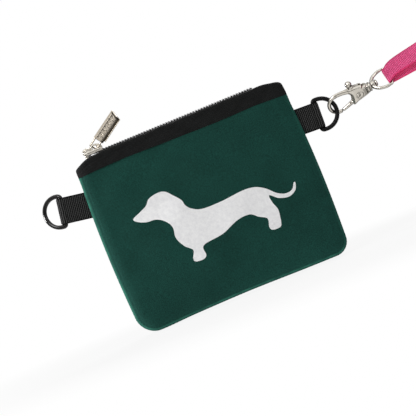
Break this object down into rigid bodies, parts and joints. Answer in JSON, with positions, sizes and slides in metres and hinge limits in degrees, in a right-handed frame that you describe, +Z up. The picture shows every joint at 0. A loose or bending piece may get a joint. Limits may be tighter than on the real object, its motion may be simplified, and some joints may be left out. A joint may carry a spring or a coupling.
{
  "type": "treat pouch",
  "caption": "Flat zipped neoprene pouch with a D-ring on a webbing tab at each side, a swivel trigger clasp and a short wrist strap.",
  "frame": {"origin": "middle of the pouch's bottom edge, on its flat underside", "axes": "+Z up to the zip, +X to the right seen from the front, the printed front faces -Y"},
  "size_m": [0.2709, 0.0262, 0.1198],
  "materials": {
    "neoprene": "matt knitted face on foam, faint sheen",
    "binding": "matt woven tape",
    "zip_tape": "matt woven tape",
    "webbing": "ribbed webbing",
    "zip_teeth": "silver-coated coil, satin",
    "slider": "nickel plate, polished",
    "ring": "black, satin gloss",
    "film": "silver film, satin",
    "nickel": "nickel plate, polished",
    "spring_steel": "bare wire",
    "strap": "ribbed webbing",
    "thread": "twisted thread"
  },
  "bodies": {
    "pouch": {"front_panel": "neoprene", "back_panel": "neoprene", "binding_front": "binding", "binding_back": "binding", "animal_print": "film", "zip_tape_front": "zip_tape", "zip_tape_back": "zip_tape", "zip_teeth_front": "zip_teeth", "zip_teeth_back": "zip_teeth", "zip_top_stop_front": "slider", "zip_top_stop_back": "slider", "zip_bottom_stop": "slider", "zip_end_tab": "binding", "tab_left": "webbing", "tab_right": "webbing"},
    "slider": {"slider_body": "slider", "slider_bridge": "slider"},
    "pull": {"pull_tab": "slider"},
    "ring_left": {"d_ring_left": "ring"},
    "ring_right": {"d_ring_right": "ring"},
    "clasp": {"clasp_body": "nickel", "gate_rivet": "nickel", "gate_spring": "spring_steel", "swivel_post": "nickel"},
    "gate": {"clasp_gate": "nickel"},
    "eye": {"swivel_eye": "nickel"},
    "strap": {"wrist_strap": "strap", "strap_stitching": "thread"}
  },
  "joints": [
    {"name": "zip_slide", "type": "slide", "parent": "pouch", "child": "slider", "axis": [1, 0, 0], "range_m": [0, 0.088], "deforming": ["zip_teeth_front", "zip_teeth_back"]},
    {"name": "pull_swing", "type": "hinge", "parent": "slider", "child": "pull", "pos_m": [-0.047, 0, 0.10493], "axis": [0, -1, 0], "range_deg": [-12, 58]},
    {"name": "left_ring_swing", "type": "hinge", "parent": "pouch", "child": "ring_left", "pos_m": [-0.07601, 0, 0.07968], "axis": [-0.165, 0, -0.9863], "range_deg": [-110, 70]},
    {"name": "right_ring_swing", "type": "hinge", "parent": "pouch", "child": "ring_right", "pos_m": [0.07239, 0, 0.07496], "axis": [0.0436, 0, 0.999], "range_deg": [-70, 70]},
    {"name": "clasp_swing", "type": "hinge", "parent": "ring_right", "child": "clasp", "pos_m": [0.08353, 0, 0.07448], "axis": [0.0436, 0, 0.999], "range_deg": [0, 45]},
    {"name": "gate_lever", "type": "hinge", "parent": "clasp", "child": "gate", "pos_m": [0.09725, 0.00029, 0.07793], "axis": [-0.0788, 0.8241, 0.5609], "range_deg": [0, 24]},
    {"name": "eye_swivel", "type": "hinge", "parent": "clasp", "child": "eye", "pos_m": [0.1046, 0.0004, 0.0788], "axis": [0.9903, 0, 0.1392], "continuous": true},
    {"name": "strap_swing", "type": "hinge", "parent": "eye", "child": "strap", "pos_m": [0.11678, 0.0004, 0.08051], "axis": [-0.114, 0.5736, 0.8112], "range_deg": [-80, 80]}
  ]
}
